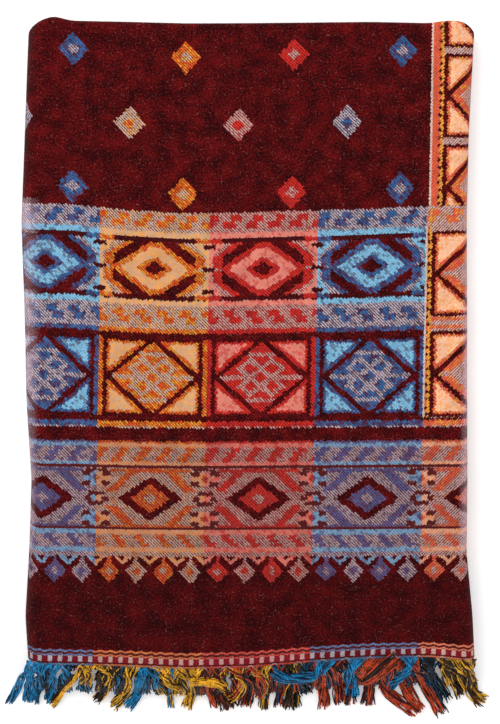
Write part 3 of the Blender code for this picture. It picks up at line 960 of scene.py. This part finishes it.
# %% The border along the side
CROSSING = 91.0  # from one lozenge to the next above the bands
LOWEST_LOZENGE = 249  # the border begins at this row
beside_bands = row < BANDS_END
upper_cell = row > 339
inward = BORDER_MIDDLE - column
half_border = 36 + 9 * beside_bands
cell = row - 291.5 - 98.5 * upper_cell
high = abs(paint(repeat(row, CROSSING, 566.9), (beside_bands, cell)))
lozenge = inward / half_border + high / 39.5
stitch = (abs(inward - half_border - 7.4) < 1.3) * (abs(repeat(row, 7.4, 0)) < 1.6)
true_column = folded_at + (fibre - 0.5) * 4
border = paint(
    rings(lozenge, LIGHT, (1.17, MAIN), (1.07, GROUND), (0.9, MAIN), (0.66, GREY)),
    ((high < 2.2) * (lozenge < 0.85) * beside_bands, GREY),
    ((high > 36.5).most(inward > half_border - 2.5) * (lozenge > 1.07), MAIN),
    ((high > 38.8).most(inward > half_border), GROUND),
    (high > 42.2, GREY),
    (abs(row - 341.5) < 5.5, MAIN),
    (abs(row - 341.5) < 2.3, GREY),
    (inward > half_border + 4.4, MAIN),
    (stitch, DARK),
    (true_column < 428.9 - 2.6 * beside_bands, WHITE),
)
shown = (true_column > 427 - 2.6 * beside_bands) * (row > LOWEST_LOZENGE)
chart = paint(chart, (shown * (abs(row - 447) > 10), border))
tell("the border")

# %% The heading woven before the fringe
blocks = repeat(folded_at + (felt - 0.5) * 3, 10.1, 116.8)
heading = (abs(blocks) < 2.1) * (abs(row - 6.4) < 3) * WHITE
wavy = row + abs(blocks) * 0.3 - 0.75
cords = (abs(row - 0.5) < 1.1).most(abs(wavy - 14.3) < 0.9).most(abs(wavy - 10.3) < 0.7)
dark_cords = (abs(row - 2.1) < 0.5).most(abs(wavy - 12.3) < 1)
heading = paint(heading, (cords, LIGHT), (dark_cords, DARK))
chart = paint(chart, (row < HEADING_END, heading))
tell("the heading")

# %% [markdown]
# ## Dyes and nap
#
# The dark ground shows between the strokes of every coloured area, and each kind of weave
# has one dye for each column. Brushing then raises a nap of fine fibres, which softens the
# edges and greys the ground, and whose sheen is painted paler along the folds. Hair could
# stand for it, but it is under 1 mm long, so noise gives the mottling, a bump the strokes, and
# sheen the soft light.

# %% Dyes of the columns
dyed_at = folded_at + (felt - 0.5) * 3
which = math.floor((dyed_at - FIRST_COLUMN) / COLUMN) % 3
which = paint(which, (dyed_at > BORDER, 3))
# Each row holds the blue, the orange and the red columns' dye, and the border's.
MAIN_DYES = [linear("#2470AC"), linear("#E65A22"), linear("#DC3224"), linear("#F06848")]
OTHER_DYES = [linear("#443656"), linear("#F4A036"), linear("#C42C30"), linear("#FBAE46")]
LIGHT_DYES = [linear("#8CC6DE"), linear("#CEA880"), linear("#DA8A7A"), linear("#F8CCA4")]
GREY_DYES = [linear("#C2B0B6"), linear("#CCB2A2"), linear("#CEA098"), linear("#DCBCB8")]


def dyed(dyes):
    """The dye of the column that a point of the cloth is in."""
    return pick_colour(which, dyes)


def blend(under, over, share):
    """Mixes two colours by a share."""
    inputs = {0: share, 6: under, 7: over}
    return add_node(wool_tree, "Mix", inputs, output=2, data_type="RGBA")


def is_kind(kind):
    """1 where the chart holds this kind of weave."""
    return abs(chart - kind) < 0.5


print(len(MAIN_DYES), "columns of dyes: blue, orange, red and the border's")

# %% The cloth's colour
lower = row < LOWER_BANDS_END  # the lower bands are more brushed and more faded
in_blue = which < 0.5
mottle = (fibre * 2.2 - 0.9 + patch * 1.4 - 0.6).most(0).least(1)
ground = blend(linear("#240306"), linear("#740F10"), mottle)
ground = blend(
    ground, linear("#8E1C28"), (abs(row - 6.4) < 3.4) * (0.7 - 0.3 * in_blue)
)
ground = blend(ground, linear("#240306"), (abs(row - 55) < 38) * 0.32)
strength = (fibre * 2.4 - 0.1).most(0.6).least(1)
in_border = dyed_at > BORDER
second = (thread * 1.7 - 0.55 - 0.4 * lower - 0.35 * in_border).most(0).least(1)
in_strip = (inward > half_border + 4.4) * (inward < 53) * (row > LOWEST_LOZENGE)
second = paint(second, (in_strip, inward < half_border + 7.4))
main = blend(dyed(MAIN_DYES), dyed(OTHER_DYES), second)
gap = 0.26 - 0.12 * lower + 0.22 * in_border
weft = blend(ground, main, gap.most(stroke * strength))
colour = blend(ground, weft, is_kind(MAIN))
light = 0.68 + 0.3 * stroke + (fibre - 0.5) * 1.5 - 0.45 * (thread > 0.74)
light = light - 0.12 * lower - 0.06 * in_border
light = light - 0.4 * (row < HEADING_END) - 0.16 * in_blue
light = blend(main, dyed(LIGHT_DYES), light.most(0.15).least(0.97))
colour = blend(colour, light, is_kind(LIGHT))
grey = blend(dyed(GREY_DYES), main, (thread * 3 - 2.2).most(0))
shadow = blend(ground, linear("#191012"), 0.55 + 0.3 * lower)
shadow = blend(shadow, main, 0.18 - 0.1 * lower)
grey = blend(shadow, grey, 0.05 + 0.92 * stroke * strength)
colour = blend(colour, grey, is_kind(GREY))
colour = blend(colour, linear("#3C0B0F"), is_kind(DARK))
white = blend(dyed(LIGHT_DYES), linear("#D2BCBC"), 0.6)
colour = blend(colour, white, is_kind(WHITE) * (fibre * 1.6 + 0.1).least(1))
tell("the dyes")

# %% The nap over the colours: dark where it is thick, with a painted sheen along the folds
nap = 0.1 + 0.2 * lower + (0.5 - patch) * 0.6
colour = blend(colour, blend(ground, linear("#240405"), 0.4), nap.most(0))
colour = blend(colour, linear("#96403E"), 0.13 * lower * (chart > 0.5))
# Painted sheen: the edges of both folds are made paler, where light catches the fuzz
fold_sheen = (1 - abs(across - 25) / 15).most(1 - abs(across - 470) / 8).most(0)
fold_sheen = fold_sheen * (fibre + patch - 0.35).most(0) * (abs(row - 288) < 174)
fold_sheen = fold_sheen * (1 - 0.5 * (abs(row - 400) < 28)) * (0.5 + 0.5 * (chart > 0.5))
colour = blend(colour, linear("#DABFCA"), fold_sheen * (0.35 + 0.75 * stroke))
strand = add_node(wool_tree, "TexNoise", {"Vector": in_picks, "Scale": 0.16, "Detail": 1.5})
stray = (1 - abs(strand - 0.5) * 80).most(0) * (fibre > 0.56)
colour = blend(colour, linear("#A98480"), stray * 0.26)
wool_tree.links.new(colour.socket, wool_shader.inputs["Base Color"])
tell("the nap")

# %% The cloth's surface
set_inputs(
    wool_shader, Roughness=0.9, Specular_IOR_Level=0.05,
    Sheen_Weight=0.05, Sheen_Roughness=0.45, Sheen_Tint=linear("#F2DCD2"),
)
bump = add_node(
    wool_tree,
    "Bump",
    {"Strength": 0.5, "Distance": 0.4 * MM, "Height": stroke * 0.5 + fibre},
)
wool_tree.links.new(bump.socket, wool_shader.inputs["Normal"])
cloth.data.materials.append(wool)
tell("the bump")

# %% [markdown]
# ## The yarn
#
# Each yarn of the fringe has one dye, picked by the strand's own number. Its plies are too
# fine to model, so noise gives each yarn its uneven tone and painted highlights and shade,
# and a slower noise paints shade over whole locks. Spun yarn shines more than brushed cloth.

# %% Plied yarn of the fringe
yarn, yarn_tree, yarn_shader = start_material("plied wool yarn")
dye = add_node(yarn_tree, "Attribute", attribute_name="dye", output=2)
YARN_DYES = [
    "#0A3C5E", "#0F7EB2", "#DEA21C", "#BE4219", "#0C0A0A", "#4A0E12", "#3E200A", "#B8ACA8",
]
yarn_colour = pick_colour(dye, [linear(value) for value in YARN_DYES])
yarn_place = add_node(yarn_tree, "TexCoord", output=3)
ply_tone_and_light = add_node(yarn_tree, "TexNoise", {"Vector": yarn_place, "Scale": 900.0, "Detail": 2.0})
lock_shade_noise = add_node(yarn_tree, "TexNoise", {"Vector": yarn_place, "Scale": 160.0, "Detail": 1.0})
# Painted light: the fine noise brightens filaments and darkens between them, the slow one shades
# whole locks
painted_yarn_light = (ply_tone_and_light * 2.6 + lock_shade_noise * 2.0 - 1.5).most(0.2)
yarn_shade = add_node(
    yarn_tree, "HueSaturation", {"Value": painted_yarn_light, "Color": yarn_colour}
)
yarn_tree.links.new(yarn_shade.socket, yarn_shader.inputs["Base Color"])
set_inputs(yarn_shader, Roughness=0.45, Specular_IOR_Level=0.25)
fringe_upper.data.materials.append(yarn)
fringe_lower.data.materials.append(yarn)
print(len(YARN_DYES), "dyes of yarn")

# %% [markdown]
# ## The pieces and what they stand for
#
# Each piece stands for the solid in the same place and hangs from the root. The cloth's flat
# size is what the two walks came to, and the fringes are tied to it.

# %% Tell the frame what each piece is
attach(cloth, "root")
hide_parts("blanket")
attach(fringe_upper, "root")
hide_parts("fringe_upper_end")
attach(fringe_lower, "root")
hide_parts("fringe_lower_end")

# %% [markdown]
# ## Floor, light and camera
#
# A plain pale floor, seen from straight above as in the photo. Light from all round leaves
# hardly a shadow, and one wide lamp gives the folds a lighter and a darker side.

# %% The floor
floor_mesh = bmesh.new()
bmesh.ops.create_grid(floor_mesh, x_segments=1, y_segments=1, size=6)
bmesh.ops.translate(floor_mesh, verts=floor_mesh.verts[:], vec=(0, 0, -0.3 * MM))
floor = make_object("floor", floor_mesh)
pale, _, pale_shader = start_material("pale matt floor")
# A little light of its own stands for the evenly lit paper of a product photo.
set_inputs(
    pale_shader, Base_Color=(0.97, 0.97, 0.97, 1), Roughness=1.0,
    Emission_Color=(1, 1, 1, 1), Emission_Strength=0.22,
)
floor.data.materials.append(pale)
print("floor", [round(value, 1) for value in floor.dimensions], "m")

# %% The light
world = bpy.data.worlds.new("soft room")
bpy.context.scene.world = world
world.use_nodes = True
set_inputs(world.node_tree.nodes["Background"], Color=(1, 1, 1, 1), Strength=0.9)
bpy.context.scene.view_settings.view_transform = "Standard"

lamp = bpy.data.lights.new("softbox", "AREA")
lamp.shape = "DISK"
lamp.size = 1.2
lamp.energy = 12
lamp_object = add_object("softbox", lamp)
lamp_object.location = (-0.7, 0.8, 1.6)
to_middle = -Vector(lamp_object.location)
lamp_object.rotation_euler = to_middle.to_track_quat("-Z", "Y").to_euler()
print(f"lamp {to_middle.length:.2f} m from the middle")

# %% The camera
camera = bpy.data.cameras.new("camera")
camera.lens, camera.sensor_width = 85, 36
camera_object = add_object("camera", camera)
camera_object.location = (1.6 * MM, 4.95 * MM, 1.644)
bpy.context.scene.camera = camera_object
print(f"camera {camera_object.location.z:.2f} m up, {camera.lens:.0f} mm lens")
